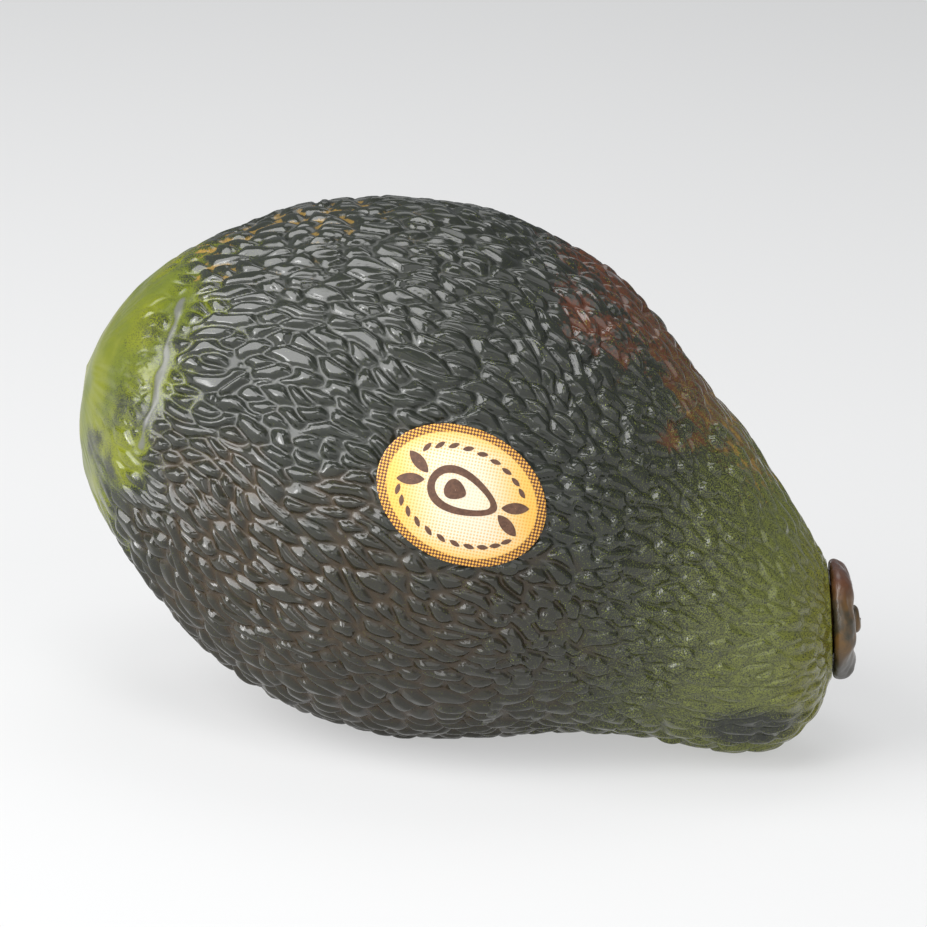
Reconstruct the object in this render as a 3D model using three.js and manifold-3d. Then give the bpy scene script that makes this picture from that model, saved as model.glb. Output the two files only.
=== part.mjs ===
// An avocado-shaped hand shaker: a hollow moulded plastic shell, the lumpy stem plug
// that closes its fill hole, an oval paper label, and loose steel shot that rattles inside.
//
// Units are millimetres and +Z is up. The shaker lies on its side on the plane z = 0, with
// its blossom end towards -X, its stem towards +X and its label towards -Y. The origin is
// on that plane, under the middle of the shaker's bounding box.
//
// The shell, plug and label are modelled in the fruit's own frame: x runs from the blossom
// end towards the stem, and z points away from the side that the fruit rests on. A group
// then pitches that frame nose down until belly and neck both touch the plane.

import * as THREE from "three";
import { mergeVertices } from "three/addons/utils/BufferGeometryUtils.js";
import Module from "manifold-3d";

// ---- Driving dimensions ----

const WALL = 2; // moulded wall of the shell
const CLEARANCE = 0.3; // gap between pieces that touch

const BODY_LENGTH = 106; // blossom end to stem seat
const BELLY_RADIUS = 36;
const SEAT_RADIUS = 8.2; // flat face that the stem plug's flange covers
const SEAT_SAG = 3.5; // how far the seat's centre lies below the body's axis
const SEAT_TILT = THREE.MathUtils.degToRad(20); // the seat faces up by this much
const TILT_FROM = 86; // where the neck's sections start to turn towards the seat

// The form of the body, as sections: how far along the axis, how far below it, and how wide.
const SECTIONS = [
  [0, 0, 0],
  [1.5, 0, 7.9],
  [7, 0, 17.7],
  [17, 0, 26.2],
  [30, 0, 33],
  [44, 0, BELLY_RADIUS],
  [58, 0, 34.4],
  [70, 0.4, 30],
  [82, 2.7, 24.1],
  [93, 5.1, 20.1],
  [100, 5.4, 17.2],
  [104.2, 4.6, 12.2],
  [BODY_LENGTH, SEAT_SAG, SEAT_RADIUS],
].map(([along, sag, radius]) => new THREE.Vector3(along, sag, radius));

const REST_PITCH = THREE.MathUtils.degToRad(12.4); // nose down, the neck just clear
const REST_PRESS = 0.8; // depth of the flat under the belly that it rests on

const HOLE_RADIUS = 5; // fill hole in the seat
const SHANK_LENGTH = 6;
const FLANGE_WAVE = 0.35; // rise and fall of the plug's lumpy rim
const FLANGE_LOBES = 5;
const STALK_RADIUS = 1.9; // stub of the stalk in the middle of the plug

const LABEL_LENGTH = 22.7;
const LABEL_WIDTH = 17.2;
const LABEL_THICKNESS = 0.3;
const LABEL_ALONG = 51.5; // centre of the label, from the blossom end
const LABEL_RISE = THREE.MathUtils.degToRad(10); // and how far round it is above -Y
const LABEL_TURN = THREE.MathUtils.degToRad(9.4); // its long axis against the body's

const SHOT_RADIUS = 2;
const SHOT_COUNT = 40;
const SHOT_SPACING = 4.4; // centre to centre, in rows that nest as equal balls do
const SHOT_ROWS = 5; // rows and columns tried each way from the middle

// ---- Solids and cuts ----

const wasm = await Module();
wasm.setup();

// A geometry with one vertex at each place, as the solid library needs it.
function welded(geometry) {
  const bare = geometry.clone();
  bare.deleteAttribute("normal");
  bare.deleteAttribute("uv");
  return mergeVertices(bare, 1e-4);
}

function solidFrom(geometry) {
  const closed = welded(geometry);
  return new wasm.Manifold(
    new wasm.Mesh({
      numProp: 3,
      vertProperties: new Float32Array(closed.attributes.position.array),
      triVerts: new Uint32Array(closed.index.array),
    }),
  );
}

function geometryFrom(solid) {
  const mesh = solid.getMesh();
  const geometry = new THREE.BufferGeometry();
  geometry.setAttribute("position", new THREE.BufferAttribute(mesh.vertProperties, 3));
  geometry.setIndex(new THREE.BufferAttribute(mesh.triVerts, 1));
  geometry.computeVertexNormals();
  return geometry;
}

function named(name, geometry, material) {
  const mesh = new THREE.Mesh(geometry, material);
  mesh.name = name;
  return mesh;
}

// ---- Body form ----

// The closed body, solid to its skin, as a lathe whose sections are then moved to sag and
// turned to tilt. An inset moves the whole skin inwards.
function bodyGeometry(rings, segments, inset = 0) {
  const sections = new THREE.CatmullRomCurve3(SECTIONS).getSpacedPoints(rings);
  sections.push(new THREE.Vector3(BODY_LENGTH, SEAT_SAG, 0));
  const profile = sections.map((s) => new THREE.Vector2(s.z, s.x));
  profile[0].x = 0;
  const lathe = new THREE.LatheGeometry(profile, segments);
  const place = lathe.attributes.position;
  for (let i = 0; i < place.count; i++) {
    const { x: along, y: sag } = sections[i % sections.length];
    const tilt = SEAT_TILT * THREE.MathUtils.smoothstep(along, TILT_FROM, BODY_LENGTH);
    const up = place.getX(i);
    const side = place.getZ(i);
    place.setXYZ(i, along - up * Math.sin(tilt), side, up * Math.cos(tilt) - sag);
  }
  const body = welded(lathe);
  if (inset) {
    body.computeVertexNormals();
    const skin = body.attributes.position;
    const normal = body.attributes.normal;
    for (let i = 0; i < skin.count; i++) {
      skin.setXYZ(
        i,
        skin.getX(i) - inset * normal.getX(i),
        skin.getY(i) - inset * normal.getY(i),
        skin.getZ(i) - inset * normal.getZ(i),
      );
    }
  }
  return body;
}

// ---- Resting pose ----

// The fruit's frame, pitched nose down and lowered until the rest flat is REST_PRESS deep.
const fruit = new THREE.Group();
fruit.rotation.y = REST_PITCH;
fruit.updateMatrixWorld(true);
const outerBody = bodyGeometry(36, 48);
const standing = outerBody.clone().applyMatrix4(fruit.matrixWorld);
standing.computeBoundingBox();
fruit.position.z = -standing.boundingBox.min.z - REST_PRESS;
fruit.updateMatrixWorld(true);
const toFruit = fruit.matrixWorld.clone().invert();

// Everything below a level height, as a solid in the fruit's frame.
function belowLevel(height) {
  const depth = 60;
  const block = new THREE.BoxGeometry(400, 200, depth);
  block.translate(0, 0, height - depth / 2);
  return solidFrom(block.applyMatrix4(toFruit));
}

// ---- Shell ----

// Places things on the seat: +Y of the thing points out along the stem.
const seat = new THREE.Group();
seat.position.set(BODY_LENGTH, 0, -SEAT_SAG);
seat.rotation.set(0, -SEAT_TILT, -Math.PI / 2, "YXZ");
seat.updateMatrix();

const cavity = solidFrom(bodyGeometry(24, 32, WALL)).subtract(belowLevel(WALL));

function shell() {
  const hole = new THREE.CylinderGeometry(HOLE_RADIUS, HOLE_RADIUS, 4 * WALL, 24);
  const solid = solidFrom(outerBody)
    .subtract(belowLevel(0))
    .subtract(cavity)
    .subtract(solidFrom(hole.applyMatrix4(seat.matrix)));
  const plastic = new THREE.MeshStandardMaterial({
    color: 0x3a3f2c,
    roughness: 0.25,
    metalness: 0,
  });
  return named("shell", geometryFrom(solid), plastic);
}

// ---- Stem plug ----

// A shank in the fill hole, a flange with a raised wavy rim, and the stub of the stalk.
function stemPlug() {
  const shank = HOLE_RADIUS - CLEARANCE;
  const profile = [
    [0, -SHANK_LENGTH],
    [shank - 0.6, -SHANK_LENGTH],
    [shank, 0.6 - SHANK_LENGTH],
    [shank, CLEARANCE],
    [SEAT_RADIUS - 0.6, CLEARANCE],
    [SEAT_RADIUS - 0.1, 0.8],
    [SEAT_RADIUS - 0.1, 1.4],
    [SEAT_RADIUS - 0.7, 2.2],
    [SEAT_RADIUS - 1.7, 2.9],
    [SEAT_RADIUS - 3, 3.3],
    [SEAT_RADIUS - 4.2, 3],
    [2.8, 2.4],
    [STALK_RADIUS + 0.1, 2.5],
    [STALK_RADIUS, 3.7],
    [STALK_RADIUS - 0.6, 4.2],
    [0, 4.3],
  ].map(([radius, height]) => new THREE.Vector2(radius, height));
  const geometry = new THREE.LatheGeometry(profile, 40);
  const place = geometry.attributes.position;
  for (let i = 0; i < place.count; i++) {
    const [x, height, z] = [place.getX(i), place.getY(i), place.getZ(i)];
    const reach = THREE.MathUtils.smoothstep(Math.hypot(x, z), 3, SEAT_RADIUS - 1);
    const raised = THREE.MathUtils.smoothstep(height, 1, 3);
    const wave = Math.sin(FLANGE_LOBES * Math.atan2(z, x) + 0.8);
    place.setY(i, height + FLANGE_WAVE * wave * reach * raised);
  }
  const plastic = new THREE.MeshStandardMaterial({
    color: 0x463c22,
    roughness: 0.35,
    metalness: 0,
  });
  const mesh = named("stem_plug", welded(geometry), plastic);
  mesh.applyMatrix4(seat.matrix);
  return mesh;
}

// ---- Label ----

// The nearest place of a surface on a ray, whichever way the surface faces.
const probe = new THREE.Raycaster();
function firstHit(target, from, direction) {
  probe.set(from, direction);
  return probe.intersectObject(target)[0];
}

// An oval disc, wrapped on the body: each of its points drops onto the skin.
function label() {
  const half = LABEL_LENGTH / 2;
  const top = CLEARANCE + LABEL_THICKNESS;
  const rings = 6;
  const across = Array.from({ length: rings + 1 }, (_, k) => (half * k) / rings);
  const profile = [
    ...across.map((r) => new THREE.Vector2(r, CLEARANCE)),
    ...across.reverse().map((r) => new THREE.Vector2(r, top)),
  ];
  const geometry = new THREE.LatheGeometry(profile, 40);
  geometry.scale(1, 1, LABEL_WIDTH / LABEL_LENGTH);
  geometry.rotateY(-LABEL_TURN);

  const inward = new THREE.Vector3(0, Math.cos(LABEL_RISE), -Math.sin(LABEL_RISE));
  const upward = new THREE.Vector3(0, Math.sin(LABEL_RISE), Math.cos(LABEL_RISE));
  const skin = new THREE.Mesh(outerBody);
  const place = geometry.attributes.position;
  for (let i = 0; i < place.count; i++) {
    const from = new THREE.Vector3(LABEL_ALONG + place.getX(i), 0, 0)
      .addScaledVector(upward, -place.getZ(i))
      .addScaledVector(inward, -2 * BELLY_RADIUS);
    const { point } = firstHit(skin, from, inward);
    point.addScaledVector(inward, -place.getY(i));
    place.setXYZ(i, point.x, point.y, point.z);
  }
  const paper = new THREE.MeshStandardMaterial({
    color: 0xf0b45a,
    roughness: 0.5,
    metalness: 0,
  });
  return named("label", welded(geometry), paper);
}

// ---- Shot ----

// Balls in one nested layer on the cavity's floor, the lowest places first. Their centres
// lie on the body's skin, moved in by the wall, the clearance and the radius of a ball.
function shot() {
  const depth = WALL + CLEARANCE + SHOT_RADIUS;
  const centres = new THREE.Mesh(
    bodyGeometry(24, 32, depth).applyMatrix4(fruit.matrixWorld),
    new THREE.MeshBasicMaterial({ side: THREE.DoubleSide }),
  );
  const belly = new THREE.Vector3(SECTIONS[5].x, 0, 0).applyMatrix4(fruit.matrixWorld);
  const down = new THREE.Vector3(0, 0, -1);
  const places = [];
  for (let row = -SHOT_ROWS; row <= SHOT_ROWS; row++) {
    for (let column = -SHOT_ROWS; column <= SHOT_ROWS; column++) {
      const from = belly.clone();
      from.x += (column + (row % 2) / 2) * SHOT_SPACING;
      from.y += (row * SHOT_SPACING * Math.sqrt(3)) / 2;
      const { point } = firstHit(centres, from, down);
      point.z = Math.max(point.z, depth);
      places.push(point);
    }
  }
  places.sort((a, b) => a.z - b.z || a.distanceTo(belly) - b.distanceTo(belly));
  const steel = new THREE.MeshStandardMaterial({
    color: 0x9a9a98,
    roughness: 0.35,
    metalness: 1,
  });
  return places.slice(0, SHOT_COUNT).map((place, k) => {
    const name = `shot_${String(k + 1).padStart(2, "0")}`;
    const ball = named(name, new THREE.IcosahedronGeometry(SHOT_RADIUS, 1), steel);
    ball.position.copy(place);
    return ball;
  });
}

// ---- Assembly ----

fruit.add(shell(), stemPlug(), label());
const shaker = new THREE.Group();
shaker.add(fruit, ...shot());
const box = new THREE.Box3().setFromObject(shaker, true);
const middle = box.getCenter(new THREE.Vector3());
shaker.position.set(-middle.x, -middle.y, 0);

export default shaker;
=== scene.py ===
# %% [markdown]
# # A shaker in the shape of an avocado
#
# This is a percussion toy: a hollow plastic shell, moulded with the lumpy skin of a ripe
# avocado and airbrushed over yellow-green plastic, a brown stem plug, an oval fruit label
# and loose shot inside. The solid model gives the place and size of every piece. What it
# leaves to Blender is the skin, and the skin is what makes the object: thousands of small
# glossy lumps. So most of this lesson is about making them as real geometry.

# %% Load the frame
import math

import bpy
import numpy as np
from mathutils import Matrix, Vector
from mathutils.bvhtree import BVHTree


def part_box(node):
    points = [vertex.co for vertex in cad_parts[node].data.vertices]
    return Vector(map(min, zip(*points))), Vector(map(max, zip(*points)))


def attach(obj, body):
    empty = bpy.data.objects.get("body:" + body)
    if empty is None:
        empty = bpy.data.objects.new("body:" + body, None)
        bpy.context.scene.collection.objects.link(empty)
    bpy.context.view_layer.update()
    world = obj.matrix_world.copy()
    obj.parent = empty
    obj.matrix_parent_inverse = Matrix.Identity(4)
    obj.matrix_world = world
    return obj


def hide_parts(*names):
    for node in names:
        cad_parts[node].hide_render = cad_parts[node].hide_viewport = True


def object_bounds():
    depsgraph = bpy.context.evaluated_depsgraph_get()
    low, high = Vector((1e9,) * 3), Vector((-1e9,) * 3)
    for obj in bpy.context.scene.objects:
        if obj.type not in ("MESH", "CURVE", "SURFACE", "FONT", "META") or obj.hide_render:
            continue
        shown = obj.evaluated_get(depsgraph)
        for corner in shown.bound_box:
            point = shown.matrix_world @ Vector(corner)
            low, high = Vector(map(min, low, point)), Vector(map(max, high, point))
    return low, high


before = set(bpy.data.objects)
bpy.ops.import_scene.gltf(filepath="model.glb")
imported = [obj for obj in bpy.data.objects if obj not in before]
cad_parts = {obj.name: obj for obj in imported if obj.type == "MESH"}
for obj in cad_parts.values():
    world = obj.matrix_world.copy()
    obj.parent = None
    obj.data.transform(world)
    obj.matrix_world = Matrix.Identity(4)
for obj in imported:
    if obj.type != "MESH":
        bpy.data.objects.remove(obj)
cad_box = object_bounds()
MM = 0.001
print("pieces in the frame:", len(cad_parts))


def in_scene(name, data):
    """A new object that shows the data, linked into the scene."""
    item = bpy.data.objects.new(name, data)
    bpy.context.scene.collection.objects.link(item)
    return item


# %% [markdown]
# ## The camera
#
# A long lens from a little above shows the shaker as a catalogue does, with hardly any
# perspective. The camera is turned a few degrees about its own axis, so that the line
# the shaker rests on runs slightly downhill to the right.

# %% Place the camera
CAMERA_DISTANCE = 0.6
CAMERA_HEIGHT_ANGLE = math.radians(13)
CAMERA_ROLL = math.radians(4.96)
CAMERA_LENS = 172.3
AIM_LEFT, AIM_UP = 1.81 * MM, 0.81 * MM  # from the middle of the shaker

view_back = Vector((0, -math.cos(CAMERA_HEIGHT_ANGLE), math.sin(CAMERA_HEIGHT_ANGLE)))
level_right = Vector((1, 0, 0))
level_up = view_back.cross(level_right)
view_right = level_right * math.cos(CAMERA_ROLL) + level_up * math.sin(CAMERA_ROLL)
view_up = view_back.cross(view_right)

middle = (Vector(cad_box[0]) + Vector(cad_box[1])) / 2
aim = middle - AIM_LEFT * view_right + AIM_UP * view_up
camera = in_scene("camera", bpy.data.cameras.new("camera"))
camera.data.lens = CAMERA_LENS
camera.data.clip_start = 0.01
camera_turn = Matrix((view_right, view_up, view_back)).transposed().to_4x4()
camera.matrix_world = Matrix.Translation(aim + CAMERA_DISTANCE * view_back) @ camera_turn
bpy.context.scene.camera = camera
print("camera at", [round(v, 3) for v in camera.matrix_world.translation])

# %% [markdown]
# ## The form under the skin
#
# The shell is a row of round sections along a slightly drooping axis. A subdivided cage
# could follow it too, but a grid of rows and columns has one great advantage here: every
# point knows how far along and how far round the fruit it lies, which is how the lumps
# and the paint will be laid out. The sections are those of the solid model, joined by
# the same kind of curve, so that the two forms agree.

# %% Curve through the sections
SECTIONS = MM * np.array([  # along the axis, below it, and the radius
    (0, 0, 0),
    (1.5, 0, 7.9),
    (7, 0, 17.7),
    (17, 0, 26.2),
    (30, 0, 33),
    (44, 0, 36),
    (58, 0, 34.4),
    (70, 0.4, 30),
    (82, 2.7, 24.1),
    (93, 5.1, 20.1),
    (100, 5.4, 17.2),
    (104.2, 4.6, 12.2),
    (106, 3.5, 8.2),
])
SEAT_TILT = math.radians(20)
TILT_FROM = 86 * MM
REST_PITCH = math.radians(12.4)
REST_PRESS = 0.8 * MM
WALL = 2 * MM


def flowing_curve(points, count, fine=60):
    """count places, evenly spaced, on a centripetal Catmull-Rom curve through points."""
    first, last = 2 * points[0] - points[1], 2 * points[-1] - points[-2]
    ends = np.vstack([first, points, last])
    share = np.linspace(0, 1, fine, endpoint=False)[:, None]
    runs = []
    for before, start, stop, after in zip(ends, ends[1:], ends[2:], ends[3:]):
        gap0 = math.sqrt(math.dist(before, start))
        gap1 = math.sqrt(math.dist(start, stop))
        gap2 = math.sqrt(math.dist(stop, after))
        middle_slope = (stop - start) / gap1
        leave = (start - before) / gap0 - (stop - before) / (gap0 + gap1) + middle_slope
        arrive = middle_slope - (after - start) / (gap1 + gap2) + (after - stop) / gap2
        leave, arrive = leave * gap1, arrive * gap1
        bend = 3 * (stop - start) - 2 * leave - arrive
        twist = 2 * (start - stop) + leave + arrive
        runs.append(start + leave * share + bend * share**2 + twist * share**3)
    curve = np.vstack([*runs, points[-1:]])
    run = np.r_[0, np.cumsum(np.linalg.norm(np.diff(curve, axis=0), axis=1))]
    even = np.linspace(0, run[-1], count)
    return np.stack([np.interp(even, run, part) for part in curve.T], axis=1), run[-1]


def smooth_step(value, low, high):
    share = np.clip((value - low) / (high - low), 0, 1)
    return share * share * (3 - 2 * share)


ROWS, COLUMNS = ((541, 840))
sections, skin_run = flowing_curve(SECTIONS, ROWS)
row_step = skin_run / (ROWS - 1)
print(f"rows {row_step / MM:.2f} mm apart, columns up to {2 * math.pi * 36 / COLUMNS:.2f} mm")

# %% Skin of the bare form, in the fruit's own frame
along = sections[:, 0]
radius = np.maximum(sections[:, 2], 0)
around = np.linspace(0, 2 * math.pi, COLUMNS, endpoint=False)  # 0 is up, then the front


def form(along, sag, radius, around):
    """Places on the form: round sections, turned towards the seat at the neck's end."""
    tilt = SEAT_TILT * smooth_step(along, TILT_FROM, SECTIONS[-1, 0])
    up = radius * np.cos(around)
    side = -radius * np.sin(around) + 0 * along
    return np.stack([along - up * np.sin(tilt), side, up * np.cos(tilt) - sag], axis=-1)


skin = form(along[:, None], sections[:, 1, None], radius[:, None], around)
along_way = np.gradient(skin, axis=0)
around_way = np.roll(skin, -1, axis=1) - np.roll(skin, 1, axis=1)
outward = np.cross(around_way, along_way)
outward[0] = (-1, 0, 0)


def unit(vectors):
    return vectors / np.maximum(np.linalg.norm(vectors, axis=-1, keepdims=True), 1e-12)


along_way, around_way, outward = unit(along_way), unit(around_way), unit(outward)

# %% From the fruit's frame to the frame of the model
PITCH = np.array([
    (math.cos(REST_PITCH), 0, math.sin(REST_PITCH)),
    (0, 1, 0),
    (-math.sin(REST_PITCH), 0, math.cos(REST_PITCH)),
])
pitched = skin @ PITCH.T
shell_low, shell_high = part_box("shell")
rest_shift = np.array([
    shell_low.x - pitched[..., 0].min(),
    (shell_low.y + shell_high.y) / 2,
    -pitched[..., 2].min() - REST_PRESS,
])


def placed(points):
    return points @ PITCH.T + rest_shift


shell_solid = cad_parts["shell"]
shell_tree = BVHTree.FromObject(shell_solid, bpy.context.evaluated_depsgraph_get())
samples = placed(skin[::12, ::14]).reshape(-1, 3)
apart = [shell_tree.find_nearest(p)[3] for p in samples if p[2] > 0]
print(f"the form lies within {max(apart) / MM:.2f} mm of the solid shell")

# %% [markdown]
# ## The lumps
#
# An avocado's skin is packed with raised grains: bent almonds and long worms on the
# body, loose drops towards the neck, flat scales underneath. A noise texture can't do
# that, because it has no edges, and the crisp groove round each grain is what catches
# the light. So the grains are grown as cells. Every grid point belongs to the seed that
# is nearest, measured in that seed's own stretched, turned and bent way, and the height
# falls off towards the border with the next seed. Drops and beads that stand alone on
# smooth skin are stamped one by one.

# %% Tools for growing and stamping grains
FAR = 9.0
nearest = np.full((ROWS, COLUMNS), FAR)
second = np.full((ROWS, COLUMNS), FAR)
cell_height = np.zeros((ROWS, COLUMNS))
cell_lean = np.zeros((ROWS, COLUMNS))
drops = np.zeros((ROWS, COLUMNS))
taken = np.zeros((ROWS, COLUMNS), bool)
column_step = 2 * math.pi * radius / COLUMNS
in_mm = along[:, None] / MM
around_deg = np.degrees(around)
from_top = np.where(around_deg > 180, 360 - around_deg, around_deg)  # 0 up, 180 down
draw = np.random.default_rng(11)


def swell(points, wavelength, waves=18):
    """A smooth random field over space, from -1 to 1 or so."""
    directions = unit(draw.normal(size=(waves, 3)))
    stretch = wavelength * (0.7 + 0.6 * draw.random(waves))
    phase = 2 * math.pi * draw.random(waves)
    total = np.zeros(points.shape[:-1])
    for k in range(waves):
        total += np.cos(points @ (2 * math.pi / stretch[k] * directions[k]) + phase[k])
    return total / math.sqrt(waves / 2)


def patch(row, column, reach):
    """The part of the grid within reach of a place, and its offsets along and around."""
    span = int(reach / row_step) + 1
    rows = np.arange(max(row - span, 1), min(row + span + 1, ROWS))
    narrowest = max(column_step[rows].min(), reach / (COLUMNS // 2 - 2))
    half = int(reach / narrowest) + 1
    area = np.ix_(rows, (column + np.arange(-half, half + 1)) % COLUMNS)
    offset = skin[area] - skin[row, column]
    return area, offset @ along_way[row, column], offset @ around_way[row, column]


def turned(s, t, turn):
    cosine, sine = math.cos(turn), math.sin(turn)
    return s * cosine + t * sine, t * cosine - s * sine


def grow(row, column, length, width, turn, bend, taper, weight, height, lean):
    """Gives a seed the places that lie nearer to it than to any other."""
    area, s, t = patch(row, column, 1.05 * length)
    s, t = turned(s, t, turn)
    t = t - bend * s * s / length
    width_here = width * (1 - taper * np.clip(s / length, -0.6, 0.6))
    away = np.hypot(s / (length / 2), t / (width_here / 2)) - weight
    first, next_one = nearest[area], second[area]
    wins = away < first
    second[area] = np.where(wins, first, np.minimum(next_one, away))
    nearest[area] = np.where(wins, away, first)
    cell_height[area] = np.where(wins, height, cell_height[area])
    tilt = np.clip(lean[0] * s / length + lean[1] * t / width, -0.5, 0.5)
    cell_lean[area] = np.where(wins, tilt, cell_lean[area])


def stamp(row, column, length, width, height, edge, turn=0.0, bend=0.0, taper=0.0, crowding=0.1):
    """Raises one lone drop, unless more than a share crowding of its place is taken."""
    area, s, t = patch(row, column, (length + width) / 2)
    s, t = turned(s, t, turn)
    t = t - bend * s * s / length
    past_core = np.maximum(np.abs(s) - max(length - width, 0) / 2, 0)
    inside = width / 2 * (1 - taper * np.clip(s / length, -0.5, 0.5)) - np.hypot(past_core, t)
    if taken[area][inside > -0.15 * MM].mean() > crowding:
        return 0
    taken[area] |= inside > 0
    rise = 1 - (1 - np.clip(inside / edge, 0, 1)) ** 2
    drops[area] = np.maximum(drops[area], height * rise)
    return 1


# %% Which way the grains run, and where each kind grows
row_share = np.cumsum(radius) / radius.sum()
swirl = 0.2 * swell(skin, 24 * MM)
side_of = np.where(around_deg < 180, 1, -1)


def pick(low, high):
    return low + (high - low) * draw.random()


def seeds(tries, low, high, top, bottom):
    """Random places in a band of the fruit, in millimetres along and degrees from the top."""
    for _ in range(tries):
        row = int(np.searchsorted(row_share, draw.random()))
        column = int(draw.integers(COLUMNS))
        ragged = draw.random() - 0.5
        if not low <= along[row] / MM + 4 * ragged <= high:
            continue
        if top <= from_top[column] + 14 * ragged <= bottom:
            yield row, column


def grow_band(tries, low, high, top, bottom, lengths, widths, heights, spread, room,
              weight=0.0, bend=0.5, taper=0.7):
    """Seeds a band, keeping to places whose nearest seed is at least room away."""
    grown = 0
    for row, column in seeds(tries, low, high, top, bottom):
        length, width = pick(*lengths), pick(*widths)
        angle = math.radians(9 + pick(-spread, spread)) + swirl[row, column]
        shape = pick(-bend, bend), pick(-0.1, taper), pick(*heights)
        lean = pick(-0.5, 0.3), side_of[column] * pick(-0.9, 0.0)
        if nearest[row, column] < room:
            continue
        grow(row, column, MM * length, MM * width, side_of[column] * angle,
             shape[0], shape[1], weight, MM * shape[2], lean)
        grown += 1
    return grown


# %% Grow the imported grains, the longest first
counts = {
    "worms": grow_band(
        700, 13, 62, 22, 132, lengths=(6.5, 11.5), widths=(1.7, 2.2), heights=(0.66, 0.9),
        spread=18, room=1.45, weight=0.1, bend=0.9, taper=0.4),
    "almonds on top": grow_band(
        9000, 7, 106, 0, 42, lengths=(5, 7.4), widths=(2.3, 3.0), heights=(0.62, 0.85),
        spread=9, room=1.22, bend=0.4, taper=0.9),
    "scales below": grow_band(
        9000, 9, 106, 136, 180, lengths=(5.2, 7.6), widths=(2.8, 3.5), heights=(0.68, 0.95),
        spread=10, room=1.2, bend=0.4, taper=0.7),
    "almonds": grow_band(
        26000, 4, 106, 0, 180, lengths=(4.4, 7.4), widths=(1.9, 2.7), heights=(0.6, 0.95),
        spread=20, room=1.2),
}
print("grains:", counts)

# %% Stamp the drops and beads that stand alone
DROPS_FROM = 26  # degrees from the top, so that none stands up on the outline
DROP_EDGE = 0.55 * MM


def scatter(tries, low, high, bottom, lengths, widths, heights, taper, crowding):
    made = 0
    for row, column in seeds(tries, low, high, DROPS_FROM, bottom):
        width = pick(*widths)
        made += stamp(
            row, column, MM * max(pick(*lengths), width), MM * width, MM * pick(*heights),
            DROP_EDGE, turn=side_of[column] * math.radians(pick(-6, 16)),
            bend=pick(-0.2, 0.2), taper=pick(*taper), crowding=crowding)
    return made


counts = {
    "drops": scatter(3400, 60, 88, 140, (1.8, 3.2), (1.5, 2.1), (0.7, 0.95), (0.5, 1.2), 0.04),
    "beads": scatter(600, 76, 98, 140, (1.1, 1.9), (1.0, 1.5), (0.26, 0.45), (0.4, 0.9), 0.01),
    "tip": scatter(160, 4, 11, 180, (0.9, 2.0), (0.7, 1.1), (0.06, 0.1), (0, 0.6), 0.02),
}
print("lone drops:", counts)

# %% Turn the cells into heights
# How far a place is inside its grain is how much nearer it lies to that grain's seed than
# to any other, in half widths of the two.
VALLEY = 0.1  # up to here it is the flat of the groove
CELL_EDGE = 1.05  # and over this much more it rises to the top of the grain
border = np.clip((second - nearest - VALLEY) / CELL_EDGE, 0, 1)

# The share of their height that the grains keep: all of it on the body, less than half
# towards the neck, most of it underneath, and none at the blossom end.
packed = 1 - 0.55 * smooth_step(in_mm + 2 * swell(skin, 9 * MM), 60, 90)
below = smooth_step(from_top, 118, 140)[None, :] * (1 - smooth_step(in_mm, 96, 103))
from_tip = smooth_step(in_mm + 1.2 * swell(skin, 6 * MM), 4.5, 14.5)
cell_share = np.maximum(packed, 0.8 * below) * from_tip
cell_share = np.maximum(cell_share, 0.14 * from_tip * (1 - smooth_step(in_mm, 98, 104)))
rise = (1 - (1 - border) ** 2) * (1 + cell_lean)
grains = np.maximum(cell_height * rise * cell_share, drops)


def softened(field, share=0.2):
    """Each point drawn towards the mean of its four neighbours."""
    sides = (np.roll(field, 1, 1) + np.roll(field, -1, 1)) / 2
    ends = np.vstack([field[:1], (field[:-2] + field[2:]) / 2, field[-1:]])
    return field + share * ((sides + ends) / 2 - field)


grains = softened(grains)
print(f"mean height of the grains {grains.mean() / MM:.2f} mm, highest {grains.max() / MM:.2f}")

# %% [markdown]
# ## Marks that belong to this fruit
#
# A few features aren't random: a smooth scar round the blossom shoulder, with short
# cracks beside it, and three rings of flat beads where the neck meets the stem.

# %% Scar, cracks and the beads round the stem
special = np.zeros((ROWS, COLUMNS))
run = np.arange(ROWS) * row_step


def row_at(place):
    return int(np.argmin(np.abs(along - place)))


def waves_round(*waves):
    """Sine waves round the fruit, each given by its height and how many there are."""
    return sum(size * np.sin(np.radians(count * around_deg)) for size, count in waves)


SCAR_ALONG, SCAR_WIDTH, SCAR_HEIGHT = 9.9 * MM, 1.15 * MM, 0.12 * MM
SCAR_FROM, SCAR_TO = 42, 99  # degrees round from the top, on the front
scar_middle = run[row_at(SCAR_ALONG)] + waves_round((0.5 * MM, 5), (0.16 * MM, 23))
scar_radius = radius[row_at(SCAR_ALONG)]
past_ends = np.maximum(np.maximum(SCAR_FROM - around_deg, around_deg - SCAR_TO), 0)
scar_half = SCAR_WIDTH / 2 * (1 + waves_round((0.35, 11), (0.2, 41)))
scar_depth = scar_half - np.hypot(
    run[:, None] - scar_middle, scar_radius * np.radians(past_ends))
scar = 1 - (1 - np.clip(scar_depth / (0.4 * MM), 0, 1)) ** 2
near_scar = np.exp(-np.square(np.minimum(scar_depth + 0.3 * MM, 0) / (0.8 * MM)))
grains *= 1 - near_scar
special += SCAR_HEIGHT * scar

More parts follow.
